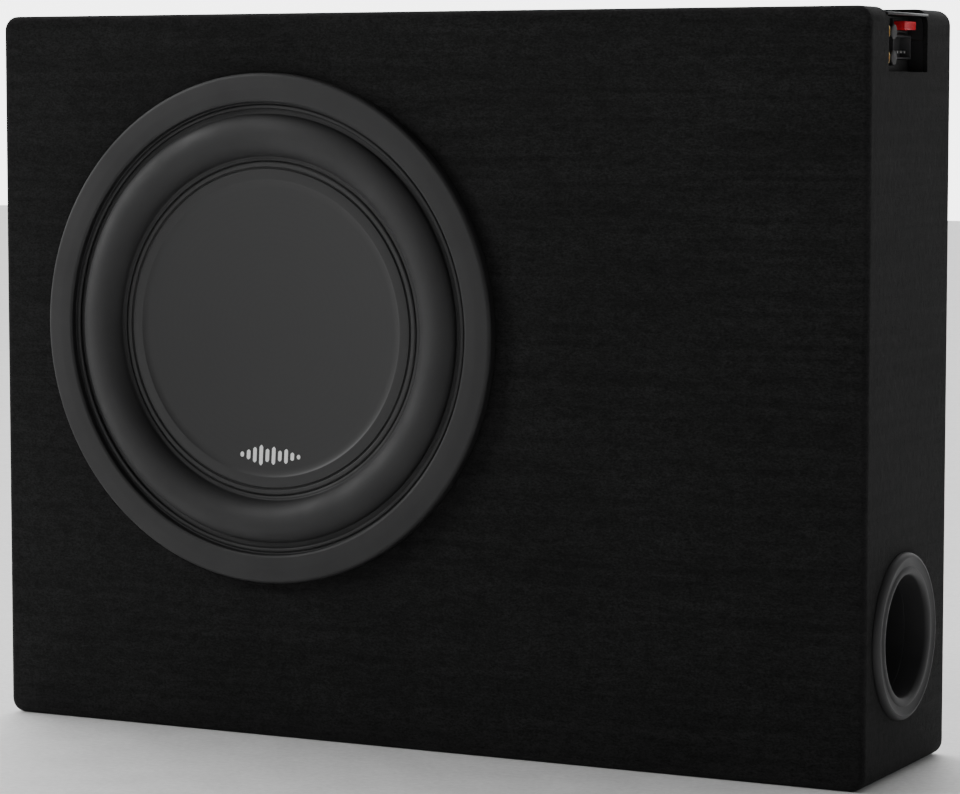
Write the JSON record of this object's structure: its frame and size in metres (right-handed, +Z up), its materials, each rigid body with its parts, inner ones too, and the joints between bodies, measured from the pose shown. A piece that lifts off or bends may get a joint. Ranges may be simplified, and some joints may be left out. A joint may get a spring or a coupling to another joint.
{
  "type": "powered car subwoofer",
  "caption": "Slim carpeted bass-reflex box with a shallow woofer, a side port and a built-in amplifier whose terminals sit in a side notch.",
  "frame": {"origin": "middle of the cabinet's underside, on the surface it stands on", "axes": "+Z up, +X along the width towards the port and the terminals, -Y out of the woofer's face"},
  "size_m": [0.5945, 0.1479, 0.45],
  "materials": {
    "carpet": "short needle-punched charcoal pile",
    "board": "raw medium-density fibreboard",
    "black_steel": "black powder coat",
    "trim": "satin dark grey moulding",
    "surround": "satin dark grey rubber",
    "foam": "matte closed-cell foam",
    "dish": "satin black moulded dish with a small pale emblem",
    "cone_paper": "matte black pulp",
    "spider": "resin-treated yellow cloth",
    "aluminium": "thin foil tube",
    "black_aluminium": "black anodised, satin",
    "copper": "enamelled copper",
    "zinc": "zinc plated",
    "ferrite": "matte dark grey ferrite",
    "plastic": "fine-grained black moulding",
    "capacitor": "shrink sleeve",
    "circuit": "green solder mask",
    "red": "translucent red",
    "wire_red": "red vinyl insulation",
    "wire_black": "black vinyl insulation",
    "gold": "gold plated",
    "lamp": "clear blue"
  },
  "bodies": {
    "cabinet": {"front_baffle": "board", "back_panel": "board", "top_panel": "board", "bottom_panel": "board", "left_panel": "board", "right_panel": "board", "carpet_front": "carpet", "carpet_back": "carpet", "carpet_left": "carpet", "carpet_right": "carpet", "carpet_top": "carpet", "carpet_bottom": "carpet", "woofer_basket": "black_steel", "woofer_gasket": "foam", "trim_ring": "trim", "surround": "surround", "spider": "spider", "motor_top_plate": "zinc", "magnet": "ferrite", "motor_back_plate": "zinc", "woofer_terminal": "plastic", "tinsel_lead_a": "copper", "tinsel_lead_b": "copper", "speaker_wire_red": "wire_red", "speaker_wire_black": "wire_black", "port_flange": "plastic", "port_pipe": "plastic", "amp_plate": "black_aluminium", "amp_tray": "black_aluminium", "amp_end_panel": "black_steel", "amp_board": "circuit", "amp_choke": "copper", "amp_capacitor_1": "capacitor", "amp_capacitor_2": "capacitor", "output_block": "plastic", "power_socket": "plastic", "fuse_holder": "plastic", "signal_jack_1": "gold", "signal_jack_2": "gold", "control_pots": "plastic", "status_lamp": "lamp", "woofer_screw_1": "zinc", "woofer_screw_2": "zinc", "woofer_screw_3": "zinc", "woofer_screw_4": "zinc", "woofer_screw_5": "zinc", "woofer_screw_6": "zinc", "woofer_screw_7": "zinc", "woofer_screw_8": "zinc", "plate_screw_1": "zinc", "plate_screw_2": "zinc", "plate_screw_3": "zinc", "plate_screw_4": "zinc"},
    "cone_assembly": {"cone": "cone_paper", "dish_cap": "dish", "coil_former": "aluminium", "voice_coil": "copper"},
    "level_control": {"level_knob": "plastic"},
    "crossover_control": {"crossover_knob": "plastic"},
    "fuse_link": {"fuse": "red"}
  },
  "joints": [
    {"name": "cone_slide", "type": "slide", "parent": "cabinet", "child": "cone_assembly", "axis": [0, -1, 0], "range_m": [-0.008, 0.008], "stiffness_N_per_m": 5000, "deforming": ["surround", "spider", "tinsel_lead_a", "tinsel_lead_b"]},
    {"name": "level_turn", "type": "hinge", "parent": "cabinet", "child": "level_control", "pos_m": [0.283, -0.017, 0.436], "axis": [1, 0, 0], "range_deg": [-140, 140]},
    {"name": "crossover_turn", "type": "hinge", "parent": "cabinet", "child": "crossover_control", "pos_m": [0.283, -0.017, 0.421], "axis": [1, 0, 0], "range_deg": [-140, 140]},
    {"name": "fuse_pull", "type": "slide", "parent": "cabinet", "child": "fuse_link", "axis": [1, 0, 0], "range_m": [0, 0.018]}
  ]
}
